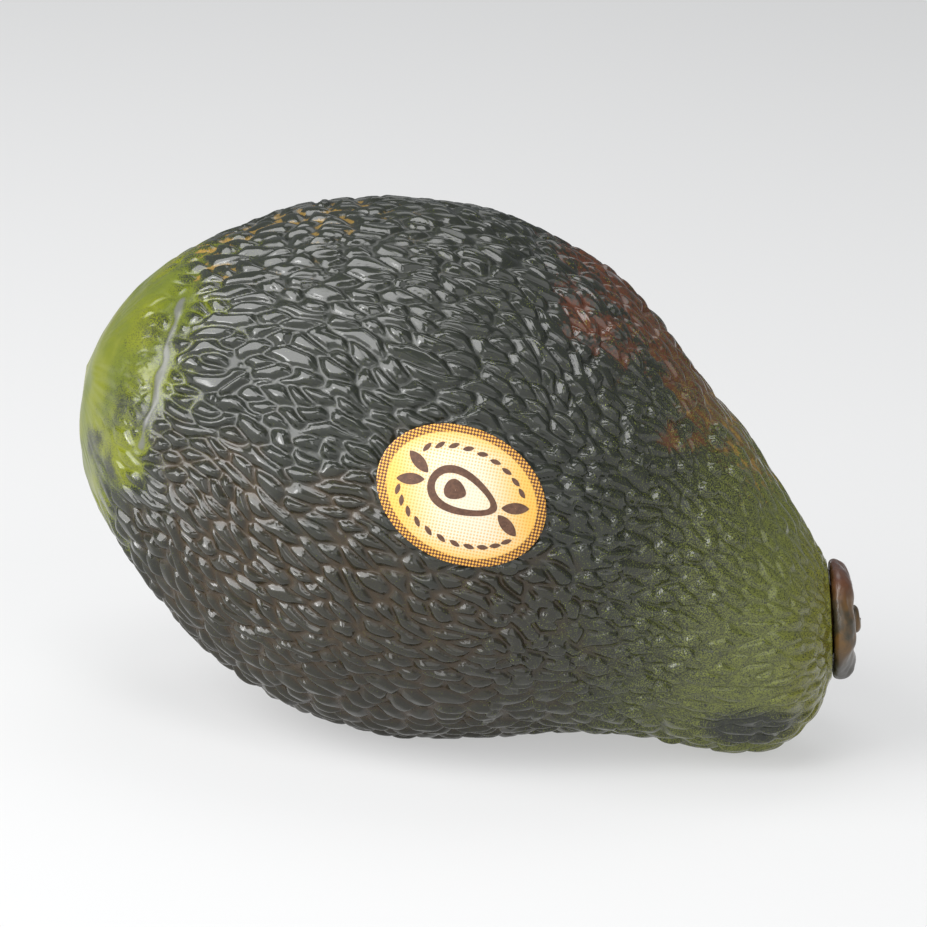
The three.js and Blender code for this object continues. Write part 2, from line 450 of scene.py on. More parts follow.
CRACKS, CRACK_ALONG, CRACK_HALF, CRACK_DEPTH = 9, 7.6 * MM, 0.25 * MM, 0.1 * MM
for crack in range(CRACKS):
    column = int((46 + 6 * crack) / 360 * COLUMNS)
    area, s, t = patch(row_at(CRACK_ALONG), column, 3 * MM)
    s, t = turned(s, t, math.radians(7 * (crack % 3)))
    length = (0.8 + 0.25 * (crack % 4)) * MM
    cut = CRACK_HALF - np.hypot(np.maximum(np.abs(s) - length, 0), t - 0.3 * s * s / length)
    special[area] -= CRACK_DEPTH * smooth_step(cut, -0.1 * MM, CRACK_HALF)

NECK_RINGS = (  # radius of the ring, how many beads, and their width, length and height
    (9.9, 22, 2.3, 2.5, 0.42),
    (12.8, 23, 2.2, 3.0, 0.26),
    (15.6, 25, 2.2, 3.4, 0.16),
)
neck_end = slice(row_at(97 * MM), ROWS)
drops[:] = 0
taken[:] = False
for ring_radius, count, bead_width, bead_length, bead_height in NECK_RINGS:
    ring_rows = np.arange(ROWS)[neck_end]
    ring_row = int(ring_rows[np.argmin(np.abs(radius[neck_end] - ring_radius * MM))])
    for bead in range(count):
        jitter = draw.random(3) - 0.5
        column = int((bead + 0.35 * jitter[0]) / count * COLUMNS) % COLUMNS
        stamp(
            min(ring_row + int(0.5 * MM * jitter[1] / row_step), ROWS - 3), column,
            bead_length * MM, bead_width * (1 + 0.3 * jitter[2]) * MM,
            bead_height * MM, 1.0 * MM, turn=0.3 * jitter[0], crowding=0.6)
grains = np.maximum(grains, softened(drops))
print("scar and neck rings done")

# %% Gentle unevenness and ridges
def ridges(counts_low, counts_high, drift, waves=20):
    """Fine ridges that run along the fruit, as waves round it that drift as they go."""
    total = np.zeros((ROWS, COLUMNS))
    for k in range(waves):
        number = int(draw.integers(counts_low, counts_high))
        slide = drift * (draw.random() - 0.5) * run[:, None] / MM
        total += np.cos(number * around + slide + 2 * math.pi * draw.random())
    return total / math.sqrt(waves / 2)


broad = swell(skin, 15 * MM)
fine = swell(skin, 4.5 * MM)
neck_zone = smooth_step(in_mm, 78, 96) * (1 - smooth_step(in_mm, 103, 105.5))
tip_zone = 1 - smooth_step(in_mm, 6, 14)
neck_ridges = ridges(22, 46, 0.5)
tip_ridges = ridges(30, 70, 1.2)
tip_fade = smooth_step(in_mm, 0.3, 4)

BASE_SINK = 0.42 * MM  # the grooves lie this far under the form
TIP_SWELL = 0.25 * MM  # and the smooth blossom end this far over it
BROAD_SWELL, FINE_SWELL = 0.13 * MM, 0.035 * MM
NECK_RIDGE, TIP_RIDGE = 0.07 * MM, 0.014 * MM
sink = BASE_SINK * from_tip - TIP_SWELL * (1 - from_tip)
height = (
    grains
    + special
    - sink
    + BROAD_SWELL * broad
    + FINE_SWELL * fine
    + NECK_RIDGE * neck_zone * neck_ridges
    + TIP_RIDGE * tip_zone * tip_fade * tip_ridges
)
seat_fade = smooth_step(run, skin_run - 0.5 * MM, skin_run)[:, None]
height = height * (1 - seat_fade)

# The label presses the lumps under it down.
LABEL_LENGTH, LABEL_WIDTH = 22.7 * MM, 17.2 * MM
LABEL_ALONG, LABEL_RISE, LABEL_TURN = 51.5 * MM, math.radians(10), math.radians(9.4)
LABEL_LIFT = 0.34 * MM
label_up_part = radius[:, None] * np.cos(around + LABEL_RISE)
under_x, under_y = turned(along[:, None] - LABEL_ALONG, label_up_part, -LABEL_TURN)
past_label = np.hypot(under_x / (LABEL_LENGTH / 2), under_y / (LABEL_WIDTH / 2))
past_label = np.where(around_deg < 180, past_label, FAR)
ceiling = LABEL_LIFT - 0.06 * MM + 2 * MM * smooth_step(past_label, 1.0, 1.35)
height = np.minimum(height, ceiling)
print(f"skin from {height.min() / MM:.2f} to {height.max() / MM:.2f} mm about the form")

# %% [markdown]
# ## The shell as one closed piece
#
# A moulding has an inside. The grid goes on over the seat, down the fill hole and back
# along the inner wall to the blossom end, so the shell is one closed tube of loops with
# a pole at each end, and the shot has a real hollow to lie in.

# %% Loops from the blossom end, over the seat, and back inside
HOLE_RADIUS = 5 * MM
SEAT_RADIUS = SECTIONS[-1, 2]
seat_middle = form(SECTIONS[-1, 0], SECTIONS[-1, 1], 0.0, 0.0)
seat_axis = np.array((math.cos(SEAT_TILT), 0, math.sin(SEAT_TILT)))


def seat_loop(ring_radius, depth):
    edge_way = (skin[-1] - seat_middle) / SEAT_RADIUS
    return seat_middle + ring_radius * edge_way - depth * seat_axis


outer = skin + height[..., None] * outward
inner_rows = range(row_at(102 * MM), 0, -(ROWS // 45))
inner = [skin[row] - WALL * outward[row] for row in inner_rows]
loops = [*outer]
loops += [seat_loop(r * MM, 0) for r in (7.4, 6.2)]
loops += [seat_loop(HOLE_RADIUS, d * MM) for d in (0, 0.15, 1, 2.2)]
loops += inner
loops = placed(np.array(loops))
FLOOR_LIFT = 0.02 * MM
is_outside = np.arange(len(loops)) < ROWS
lowest = np.where(is_outside, FLOOR_LIFT, WALL)[:, None]
loops[..., 2] = np.maximum(loops[..., 2], lowest)
blossom_inside = placed(skin[0, 0] + WALL * np.array((1, 0, 0)))


def closed_tube(name, loops, first_pole, last_pole):
    """A mesh of loops joined by quads, closed by a fan at each end."""
    count, columns = loops.shape[:2]
    points = np.vstack([loops.reshape(-1, 3), first_pole, last_pole])
    start = np.arange(count - 1)[:, None] * columns
    this = np.arange(columns)
    after = (this + 1) % columns
    quads = np.stack([start + this, start + after, start + columns + after,
                      start + columns + this], axis=-1).reshape(-1, 4)
    first = np.stack([np.full(columns, count * columns), after, this], axis=-1)
    end = (count - 1) * columns
    last = np.stack([np.full(columns, count * columns + 1), end + this, end + after], axis=-1)
    mesh = bpy.data.meshes.new(name)
    mesh.vertices.add(len(points))
    mesh.vertices.foreach_set("co", points.ravel())
    corners = np.concatenate([quads.ravel(), first.ravel(), last.ravel()])
    sizes = np.r_[np.full(len(quads), 4), np.full(2 * columns, 3)]
    mesh.loops.add(len(corners))
    mesh.loops.foreach_set("vertex_index", corners)
    mesh.polygons.add(len(sizes))
    mesh.polygons.foreach_set("loop_start", np.r_[0, np.cumsum(sizes)[:-1]])
    mesh.update(calc_edges=True)
    mesh.polygons.foreach_set("use_smooth", np.ones(len(sizes), bool))
    # The bake's map: loops up the square, columns across it, with a seam down one side.
    up = np.linspace(0.01, 0.99, count)
    near = np.arange(columns) / columns
    half, far = near + 0.5 / columns, near + 1 / columns
    u = [np.tile(np.stack([near, far, far, near], -1).ravel(), count - 1),
         np.stack([half, far, near], -1).ravel(), np.stack([half, near, far], -1).ravel()]
    v = [np.repeat(np.stack([up[:-1], up[:-1], up[1:], up[1:]], -1), columns, axis=0).ravel(),
         np.tile([0, up[0], up[0]], columns), np.tile([1, up[-1], up[-1]], columns)]
    flat = mesh.uv_layers.new(name="OFBake")
    flat.data.foreach_set("uv", np.stack([np.concatenate(u), np.concatenate(v)], -1).ravel())
    return in_scene(name, mesh)


shell = closed_tube("shell_skin", loops[1:], loops[0, 0], blossom_inside)
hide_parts("shell")
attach(shell, "root")
print("shell faces:", len(shell.data.polygons))

# %% [markdown]
# ## Where the paint went
#
# The plastic is yellow-green. A dark coat was airbrushed over most of it, thinly at both
# ends and thickly in one patch under the neck, with maroon along the top of the shoulder,
# amber where the spray missed, and brown in the grooves below. The scar's grey is painted sheen.
# Each of these is a map over the same grid, stored in the mesh for the material to read,
# which breaks its soft edges up into specks.

# %% Paint maps
angle = np.where(around_deg > 180, around_deg - 360, around_deg)  # front is positive
warp_along = in_mm + 1.6 * swell(skin, 11 * MM) + 0.7 * swell(skin, 3.5 * MM)
warp_angle = angle + 7 * swell(skin, 13 * MM) + 3 * swell(skin, 4 * MM)
grain_share = np.clip(grains / (0.45 * MM), 0, 1)


def spot(along_mm, half_along, angle_deg, half_angle):
    """A soft oval patch with edges that wander, placed along and round from the top."""
    away = (warp_angle - angle_deg + 180) % 360 - 180
    return np.exp(-np.square((warp_along - along_mm) / half_along)
                  - np.square(away / half_angle))


# Where the dark coat went: over all but the blossom end, and more thinly on the neck.
# Low on the blossom end it reaches further round the underside, partly as painted shade.
low_mist_and_shade = 5 * smooth_step(warp_along, 3, 9) * np.exp(-np.square((np.abs(warp_angle) - 122) / 28))
tip_cover_and_shade = smooth_step(warp_along + low_mist_and_shade + 6 * from_tip * (grain_share - 0.55), -1, 20)
neck_cover = 1 - 0.6 * smooth_step(0.35 * warp_along + 0.65 * in_mm, 54, 102)
dark = tip_cover_and_shade * neck_cover
BRUISE_ALONG, BRUISE_ANGLE = 96.8, 134  # the dark patch under the neck
bruise = np.exp(-np.square((in_mm - BRUISE_ALONG) / 6.5)
                - np.square((angle - BRUISE_ANGLE) / 17))
dark = np.maximum(dark, np.clip(1.15 * bruise, 0, 0.85))

# Maroon, amber and brown lie mostly in the grooves, because the grains were rubbed clean.
maroon = np.clip(1.8 * spot(74, 17, 4, 25), 0, 1) * (1 - 0.45 * grain_share)
streaks = np.clip(0.5 + 0.9 * ridges(40, 120, 2.0), 0, 1)
amber_left = 2.4 * spot(20, 11, 5, 18)
amber_right = 0.9 * spot(86, 14, 10, 26)
amber = (amber_left + amber_right) * streaks * (1 - 0.92 * grain_share)
brown = smooth_step(np.abs(warp_angle), 78, 100) * (1 - smooth_step(warp_along, 62, 84))
brown = brown * smooth_step(warp_along, 9, 20) * (1 - 0.8 * grain_share)

# One value per vertex, with nothing painted on the inside.
inside = np.zeros((len(loops) - ROWS) * COLUMNS)
for name, values in {
    "dark_coat": dark, "maroon": maroon, "amber": np.clip(amber, 0, 1),
    "brown": brown, "grain": grain_share, "scar": scar,
}.items():
    over_all = np.concatenate([values[1:].ravel(), inside, [values[0].mean(), 0]])
    attribute = shell.data.attributes.new(name, "FLOAT", "POINT")
    attribute.data.foreach_set("value", over_all.astype(np.float32))
print("paint maps stored:", [a.name for a in shell.data.attributes if a.data_type == "FLOAT"])

# %% [markdown]
# ## Node groups that several finishes share
#
# A sprayed coat never ends in a smooth blend. It breaks up into droplets, so the first
# group turns a soft coverage into specks. The second is the slight orange peel of
# moulded and painted plastic, which keeps its reflections from being perfect mirrors.

# %% Helpers for building nodes
def new_group(name, inputs, outputs):
    """A node group that takes a Place and some numbers, and the sockets at its two ends."""
    group = bpy.data.node_groups.new(name, "ShaderNodeTree")
    sockets = group.interface
    sockets.new_socket("Place", in_out="INPUT", socket_type="NodeSocketVector")
    for key, value in inputs.items():
        socket = sockets.new_socket(key, in_out="INPUT", socket_type="NodeSocketFloat")
        socket.default_value = value
    for key in outputs:
        sockets.new_socket(key, in_out="OUTPUT", socket_type="NodeSocketFloat")
    start, end = group.nodes.new("NodeGroupInput"), group.nodes.new("NodeGroupOutput")
    return group, start.outputs, end.inputs


def add_node(tree, kind, inputs=None, **settings):
    """A node with its settings, and its inputs set to values or linked to sockets."""
    node = tree.nodes.new(kind)
    for key, value in settings.items():
        setattr(node, key, value)
    for key, value in (inputs or {}).items():
        if isinstance(value, bpy.types.NodeSocket):
            tree.links.new(value, node.inputs[key])
        else:
            node.inputs[key].default_value = value
    return node


def maths(tree, operation, *values):
    node = add_node(tree, "ShaderNodeMath", dict(enumerate(values)), operation=operation)
    return node.outputs[0]


def plus(tree, first, second):
    return maths(tree, "ADD", first, second)


def times(tree, first, second):
    return maths(tree, "MULTIPLY", first, second)


def remap(tree, value, low, high, to_low=0.0, to_high=1.0):
    node = add_node(
        tree, "ShaderNodeMapRange",
        {"Value": value, "From Min": low, "From Max": high, "To Min": to_low, "To Max": to_high},
        interpolation_type="SMOOTHSTEP")
    return node.outputs["Result"]


def blend_colours(tree, share, first, second):
    """From the first colour to the second. The node's sockets are told apart by number."""
    node = add_node(tree, "ShaderNodeMix", {0: share, 6: first, 7: second}, data_type="RGBA")
    return node.outputs[2]


def noise(tree, place, scale, detail=2.0, roughness=0.5):
    node = add_node(tree, "ShaderNodeTexNoise",
                    {"Vector": place, "Scale": scale, "Detail": detail, "Roughness": roughness})
    return node.outputs["Fac"]


# %% Airbrush specks
airbrush, given, results = new_group(
    "airbrush_specks", {"Coverage": 0.5, "Speck Size": 0.25, "Breakup": 0.8},
    ["Mask", "Stray Specks"])
speck_scale = maths(airbrush, "DIVIDE", 1000.0, given["Speck Size"])
specks = noise(airbrush, given["Place"], speck_scale, 3.0, 0.65)
centred = maths(airbrush, "SUBTRACT", specks, 0.5)
spread = times(airbrush, centred, times(airbrush, 3.0, given["Breakup"]))
level = plus(airbrush, given["Coverage"], spread)
mask = remap(airbrush, level, 0.28, 0.72)
airbrush.links.new(mask, results["Mask"])
dots = add_node(
    airbrush, "ShaderNodeTexVoronoi",
    {"Vector": given["Place"], "Scale": times(airbrush, speck_scale, 0.55), "Randomness": 1.0})
rare = remap(airbrush, noise(airbrush, given["Place"], 420.0, 2.0), 0.5, 0.72)
dot = remap(airbrush, dots.outputs["Distance"], 0.3, 0.12)
airbrush.links.new(times(airbrush, dot, rare), results["Stray Specks"])

# %% Orange peel
peel, given, results = new_group("orange_peel", {"Size": 0.8, "Depth": 1.0}, ["Height", "Wear"])
peel_scale = maths(peel, "DIVIDE", 1000.0, given["Size"])
coarse = noise(peel, given["Place"], peel_scale, 2.0)
grit = noise(peel, given["Place"], times(peel, peel_scale, 5.0), 2.0)
both = times(peel, plus(peel, coarse, times(peel, grit, 0.25)), given["Depth"])
wear = noise(peel, given["Place"], maths(peel, "DIVIDE", peel_scale, 9.0), 3.0)
peel.links.new(both, results["Height"])
peel.links.new(wear, results["Wear"])
print("node groups:", [g.name for g in bpy.data.node_groups])

# %% [markdown]
# ## The skin's material
#
# The paint is built up in the order a painter would spray it: plastic, amber and maroon
# tints, then the dark coat. The tops of the grains are the glossiest, and the grooves and
# the smooth ends a little duller.

# %% Skin material
def new_material(name):
    """A material with a lone Principled shader, and the parts it is wired up from."""
    material = bpy.data.materials.new(name)
    material.use_nodes = True
    tree = material.node_tree
    shader = tree.nodes["Principled BSDF"]
    place = tree.nodes.new("ShaderNodeTexCoord").outputs["Object"]
    return material, tree, shader, place


def group_node(tree, group, **inputs):
    named = {key.replace("_", " "): value for key, value in inputs.items()}
    return add_node(tree, "ShaderNodeGroup", named, node_tree=group)


def wire_up(tree, shader, colour, roughness, height, strength, depth):
    """Gives the shader its colour, its roughness and a bump of the given depth."""
    bump = add_node(tree, "ShaderNodeBump",
                    {"Height": height, "Strength": strength, "Distance": depth * MM})
    tree.links.new(colour, shader.inputs["Base Color"])
    tree.links.new(roughness, shader.inputs["Roughness"])
    tree.links.new(bump.outputs["Normal"], shader.inputs["Normal"])


def stored(tree, name):
    return add_node(tree, "ShaderNodeAttribute", attribute_name=name).outputs["Fac"]


YELLOW_GREEN = (0.125, 0.14, 0.003, 1)
GRASS_GREEN = (0.085, 0.105, 0.006, 1)
OLIVE = (0.125, 0.14, 0.028, 1)
STEM_YELLOW = (0.19, 0.18, 0.012, 1)
AMBER = (0.26, 0.16, 0.03, 1)
MAROON = (0.085, 0.028, 0.014, 1)
COAT = (0.017, 0.019, 0.015, 1)
COAT_BROWN = (0.036, 0.021, 0.008, 1)
PAINTED_SCAR_SHEEN = (0.1, 0.1, 0.096, 1)
SPECK_GREEN = (0.36, 0.42, 0.04, 1)


def skin_material():
    material, tree, shader, place = new_material("airbrushed_skin")
    drift = remap(tree, noise(tree, place, 160.0, 3.0), 0.35, 0.65)
    plastic = blend_colours(tree, drift, GRASS_GREEN, YELLOW_GREEN)
    toward_neck = add_node(tree, "ShaderNodeSeparateXYZ", {"Vector": place}).outputs["X"]
    plastic = blend_colours(tree, remap(tree, toward_neck, 0.0, 0.03), plastic, OLIVE)
    by_stem = remap(tree, toward_neck, 0.04, 0.05, 0.0, 0.7)
    plastic = blend_colours(tree, by_stem, plastic, STEM_YELLOW)
    amber_mask = group_node(tree, airbrush, Place=place, Coverage=stored(tree, "amber"),
                            Speck_Size=0.3, Breakup=0.5).outputs["Mask"]
    tinted = blend_colours(tree, amber_mask, plastic, AMBER)
    brown_share = times(tree, stored(tree, "brown"), 0.9)
    coat = blend_colours(tree, brown_share, COAT, COAT_BROWN)
    maroon_mask = group_node(tree, airbrush, Place=place, Coverage=stored(tree, "maroon"),
                             Speck_Size=0.5, Breakup=0.45).outputs["Mask"]
    coat = blend_colours(tree, maroon_mask, coat, MAROON)
    coat = blend_colours(tree, times(tree, amber_mask, 0.55), coat, AMBER)
    # The dark coat's mask, which also carries the painted shade low on the blossom end.
    spray_and_shade = group_node(tree, airbrush, Place=place, Coverage=stored(tree, "dark_coat"),
                       Speck_Size=0.16, Breakup=0.85)
    colour = blend_colours(tree, spray_and_shade.outputs["Mask"], tinted, coat)
    # The scar is painted light grey: a painted reflection of the sheen along its smooth ridge.
    colour = blend_colours(tree, times(tree, stored(tree, "scar"), 0.8), colour, PAINTED_SCAR_SHEEN)
    speckled = remap(tree, toward_neck, -0.02, 0.02, 0.06, 0.5)
    stray = times(tree, spray_and_shade.outputs["Stray Specks"], speckled)
    colour = blend_colours(tree, stray, colour, SPECK_GREEN)

    gloss = group_node(tree, peel, Place=place, Size=0.9, Depth=1.0)
    worn = remap(tree, gloss.outputs["Wear"], 0.3, 0.7, 0.0, 0.07)
    on_grain = remap(tree, stored(tree, "grain"), 0.05, 0.6, 0.3, 0.12)
    stretched = add_node(tree, "ShaderNodeMapping", {"Vector": place, "Scale": (0.22, 1, 1)})
    wrinkles = noise(tree, stretched.outputs["Vector"], 1300.0, 2.0)
    surface = plus(tree, times(tree, gloss.outputs["Height"], 0.5), wrinkles)
    wire_up(tree, shader, colour, plus(tree, on_grain, worn), surface, 0.22, 0.05)
    return material


shell.data.materials.append(skin_material())

# %% [markdown]
# ## The stem plug
#
# A lumpy disc with the stub of a stalk in the middle. It is turned like a lathe part,
# and then its rim is pushed in and out, and up and down, by a few waves.

# %% Turn the plug
PLUG_PROFILE = MM * np.array([  # radius, and height above the seat
    (0, -6), (2.5, -6), (4.1, -6), (4.7, -5.4), (4.7, -3), (4.7, 0.3), (5.2, 0.35), (7.2, 0.35),
    (7.9, 0.6), (8.15, 1.2), (7.9, 1.9), (7.2, 2.6), (6.1, 3.1), (4.9, 3.3), (3.8, 2.9),
    (2.9, 2.4), (2.2, 2.5), (1.95, 3.1), (1.85, 3.8), (1.4, 4.2), (0.6, 4.3), (0, 4.3),
])
PLUG_ROWS, PLUG_COLUMNS = 150, 220
profile, _ = flowing_curve(PLUG_PROFILE, PLUG_ROWS)
plug_around = np.linspace(0, 2 * math.pi, PLUG_COLUMNS, endpoint=False)
plug_radius = np.maximum(profile[:, 0, None], 0) + 0 * plug_around
plug_height = profile[:, 1, None] + 0 * plug_around
rim = smooth_step(plug_radius, 3.2 * MM, 7.2 * MM) * smooth_step(plug_height, 0.4 * MM, 2.2 * MM)
stub = smooth_step(plug_height, 2.6 * MM, 3.6 * MM) * (plug_radius < 3 * MM)
waves = np.sin(5 * plug_around + 0.8) + 0.6 * np.sin(3 * plug_around + 2.1)
waves = waves + 0.35 * np.sin(11 * plug_around + 0.4)
plug_height = plug_height + 0.3 * MM * waves * rim + 0.12 * MM * stub * np.cos(plug_around)
lobes = np.sin(5 * plug_around + 2.0) + 0.5 * np.sin(8 * plug_around)
flange = smooth_step(plug_radius, 5.4 * MM, 7.4 * MM)
plug_radius = plug_radius + 0.16 * MM * lobes * flange
plug_radius = plug_radius * (1 + 0.05 * stub * np.sin(3 * plug_around))
side_way = np.array((0, -1, 0))
up_way = np.cross(side_way, seat_axis)
plug_points = (
    seat_middle
    + plug_height[..., None] * seat_axis
    + (plug_radius * np.sin(plug_around))[..., None] * side_way
    + (plug_radius * np.cos(plug_around))[..., None] * -up_way
)
crumble = 0.04 * MM * swell(plug_points, 1.6 * MM)[..., None]
plug_points = placed(plug_points + crumble * seat_axis * flange[..., None])
plug = closed_tube(
    "stem_plug_lumpy", plug_points[1:-1][:, ::-1], plug_points[0, 0], plug_points[-1, 0])
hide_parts("stem_plug")
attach(plug, "root")


# %% Plug material
PLUG_OLIVE = (0.042, 0.034, 0.02, 1)
PLUG_BROWN = (0.12, 0.062, 0.016, 1)
PLUG_SHEEN_GREY = (0.05, 0.045, 0.036, 1)
PLUG_RED = (0.075, 0.022, 0.015, 1)
PLUG_FLECK = (0.03, 0.012, 0.008, 1)


def plug_material():
    material, tree, shader, place = new_material("stem_plastic")
    mottle = remap(tree, noise(tree, place, 260.0, 4.0, 0.6), 0.38, 0.62)
    colour = blend_colours(tree, mottle, PLUG_OLIVE, PLUG_BROWN)
    up = add_node(tree, "ShaderNodeSeparateXYZ", {"Vector": place}).outputs["Z"]
    seat_height = float(placed(seat_middle)[2])
    # Painted reflection: the plug turns grey towards its bottom, standing in for the sheen on its
    # lower side.
    low_sheen_share = remap(tree, up, seat_height - 0.5 * MM, seat_height - 6 * MM)
    colour = blend_colours(tree, low_sheen_share, colour, PLUG_SHEEN_GREY)
    high_share = remap(tree, up, seat_height + 3 * MM, seat_height + 7 * MM, 0.0, 0.7)
    colour = blend_colours(tree, high_share, colour, PLUG_RED)
    worn = group_node(tree, airbrush, Place=place, Coverage=0.12, Speck_Size=0.35, Breakup=0.7)
    colour = blend_colours(tree, worn.outputs["Mask"], colour, PLUG_FLECK)
    gloss = group_node(tree, peel, Place=place, Size=0.7, Depth=1.0)
    roughness = remap(tree, gloss.outputs["Wear"], 0.3, 0.7, 0.22, 0.38)
    wire_up(tree, shader, colour, roughness, gloss.outputs["Height"], 0.5, 0.06)
    return material


plug.data.materials.append(plug_material())
print("plug faces:", len(plug.data.polygons))

# %% [markdown]
# ## The label
#
# A paper oval, bent over the body. Its print is in two parts: the orange half-tone dots
# are a pattern in the material, laid out in the label's own millimetres, and the dark
# emblem is cut from thin shapes, whose edges stay sharp at any distance.

# %% Drape points of the label on the form
LABEL_THICKNESS = 0.14 * MM
label_out = np.array((0, -math.cos(LABEL_RISE), math.sin(LABEL_RISE)))
label_up = np.array((0, math.sin(LABEL_RISE), math.cos(LABEL_RISE)))


def draped(x, y, lift):
    """Places on the label: x along its long axis, y up, and lift off the bare form."""
    along_x = LABEL_ALONG + x * math.cos(LABEL_TURN) + y * math.sin(LABEL_TURN)
    height_y = y * math.cos(LABEL_TURN) - x * math.sin(LABEL_TURN)
    rim_radius = np.interp(along_x, along, radius) + lift
    sag = np.interp(along_x, along, sections[:, 1])
    up_part = height_y + sag * math.cos(LABEL_RISE)
    out_part = np.sqrt(rim_radius**2 - up_part**2) - sag * math.sin(LABEL_RISE)
    points = out_part[..., None] * label_out + height_y[..., None] * label_up
    points[..., 0] += along_x
    return placed(points)


# %% Cut the label
LABEL_RINGS, LABEL_SPOKES = 70, 200
spoke = np.linspace(0, 2 * math.pi, LABEL_SPOKES, endpoint=False)
ring_share = np.linspace(0, 1, LABEL_RINGS)[1:, None]
label_x = ring_share * LABEL_LENGTH / 2 * np.cos(spoke)
label_y = ring_share * LABEL_WIDTH / 2 * np.sin(spoke)
face = draped(label_x, label_y, LABEL_LIFT + LABEL_THICKNESS)
back = draped(label_x, label_y, LABEL_LIFT)
BEVEL = 0.03 * MM
edge_loop = draped(label_x[-1:] * (1 + BEVEL / LABEL_LENGTH),
                   label_y[-1:] * (1 + BEVEL / LABEL_WIDTH), LABEL_LIFT + LABEL_THICKNESS / 2)
centre_face = draped(np.zeros(1), np.zeros(1), LABEL_LIFT + LABEL_THICKNESS)[0]
centre_back = draped(np.zeros(1), np.zeros(1), LABEL_LIFT)[0]
label_loops = np.concatenate([face, edge_loop, back[::-1]])
label = closed_tube("oval_label", label_loops[:, ::-1], centre_face, centre_back)
own_x = np.concatenate([label_x, label_x[-1:], label_x[::-1]])[:, ::-1].ravel() / MM
own_y = np.concatenate([label_y, label_y[-1:], label_y[::-1]])[:, ::-1].ravel() / MM
own = np.zeros((len(own_x) + 2, 3), np.float32)
own[:-2, 0], own[:-2, 1] = own_x, own_y
own_place = label.data.attributes.new("label_mm", "FLOAT_VECTOR", "POINT")
own_place.data.foreach_set("vector", own.ravel())
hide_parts("label")
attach(label, "root")


# %% Label material
PAPER_PALE = (0.64, 0.58, 0.45, 1)
PAPER_YELLOW = (0.66, 0.42, 0.085, 1)
DOT_ORANGE = (0.68, 0.28, 0.03, 1)
BORDER_ORANGE = (0.68, 0.34, 0.05, 1)
BORDER_BROWN = (0.085, 0.026, 0.009, 1)
DOT_PITCH = 0.42  # in millimetres
SCREEN_COSINE, SCREEN_SINE = 0.966, 0.259  # the dots' rows are turned by 15 degrees


def label_material():
    material, tree, shader, place = new_material("printed_paper")
    own = add_node(tree, "ShaderNodeAttribute", attribute_name="label_mm").outputs["Vector"]
    parts = add_node(tree, "ShaderNodeSeparateXYZ", {"Vector": own})
    x, y = parts.outputs["X"], parts.outputs["Y"]
    half_length, half_width = LABEL_LENGTH / MM / 2, LABEL_WIDTH / MM / 2
    scaled_x = maths(tree, "DIVIDE", x, half_length)
    scaled_y = maths(tree, "DIVIDE", y, half_width)
    squares = [maths(tree, "POWER", scaled, 2.0) for scaled in (scaled_x, scaled_y)]
    from_centre = maths(tree, "SQRT", plus(tree, *squares))

    # Yellow at the ends and round the edge, nearly white in the middle.
    ends = maths(tree, "ABSOLUTE", plus(tree, scaled_x, times(tree, scaled_y, 0.5)))
    edge_glow = remap(tree, from_centre, 0.55, 1.0)
    glow = maths(tree, "MAXIMUM", remap(tree, ends, 0.2, 0.95), edge_glow)
    paper = blend_colours(tree, glow, PAPER_PALE, PAPER_YELLOW)

    # Half-tone dots on a square grid, a little turned, as a printer's screen is.
    turned_x = plus(tree, times(tree, x, SCREEN_COSINE), times(tree, y, SCREEN_SINE))
    turned_y = maths(tree, "SUBTRACT", times(tree, y, SCREEN_COSINE), times(tree, x, SCREEN_SINE))
    waves = [maths(tree, "COSINE", times(tree, place_mm, 2 * math.pi / DOT_PITCH))
             for place_mm in (turned_x, turned_y)]
    screen = plus(tree, *waves)
    fine_dots = remap(tree, screen, 0.1, 0.9)
    tint = times(tree, fine_dots, remap(tree, from_centre, 0.1, 0.8, 0.3, 0.75))
    colour = blend_colours(tree, tint, paper, DOT_ORANGE)
    in_border = remap(tree, from_centre, 0.875, 0.9)
    coarse_dots = remap(tree, screen, -0.5, 0.1)
    border = blend_colours(tree, coarse_dots, BORDER_ORANGE, BORDER_BROWN)
    colour = blend_colours(tree, in_border, colour, border)

    gloss = group_node(tree, peel, Place=place, Size=0.5, Depth=0.6)
    roughness = remap(tree, gloss.outputs["Wear"], 0.3, 0.7, 0.36, 0.46)
    wire_up(tree, shader, colour, roughness, gloss.outputs["Height"], 0.3, 0.02)
    return material


label.data.materials.append(label_material())
print("label faces:", len(label.data.polygons))

# %% Emblem on the label
INK_THICKNESS = 0.03 * MM
INK_LIFT = LABEL_LIFT + LABEL_THICKNESS


def ink_band(outside, inside):
    """A closed sliver of ink between two outlines of the same number of points."""
    loops = []
    for outline, lift in ((inside, 0.5), (inside, 1), (outside, 1), (outside, 0.5)):
        x, y = (MM * np.array(outline)).T
        loops.append(draped(x, y, INK_LIFT + lift * INK_THICKNESS))
    return np.array(loops)


def leaf_outline(x, y, turn, length, width, points=24):
    """An outline with a point at each end."""
    t = np.linspace(0, 2 * math.pi, points, endpoint=False)
    s = length / 2 * np.cos(t)
    w = width / 2 * np.sin(t) * np.abs(np.sin(t)) ** 0.6
    return np.stack([x + s * math.cos(turn) - w * math.sin(turn),
                     y + s * math.sin(turn) + w * math.cos(turn)], axis=1)


def pear_outline(x, y, length, width, points=64):
    t = np.linspace(0, 2 * math.pi, points, endpoint=False)
    return np.stack([x + length / 2 * np.cos(t),
                     y + width / 2 * np.sin(t) * (1 - 0.34 * np.cos(t))], axis=1)


def shrunk(outline, share):
    centre = outline.mean(axis=0)
    return centre + (outline - centre) * share


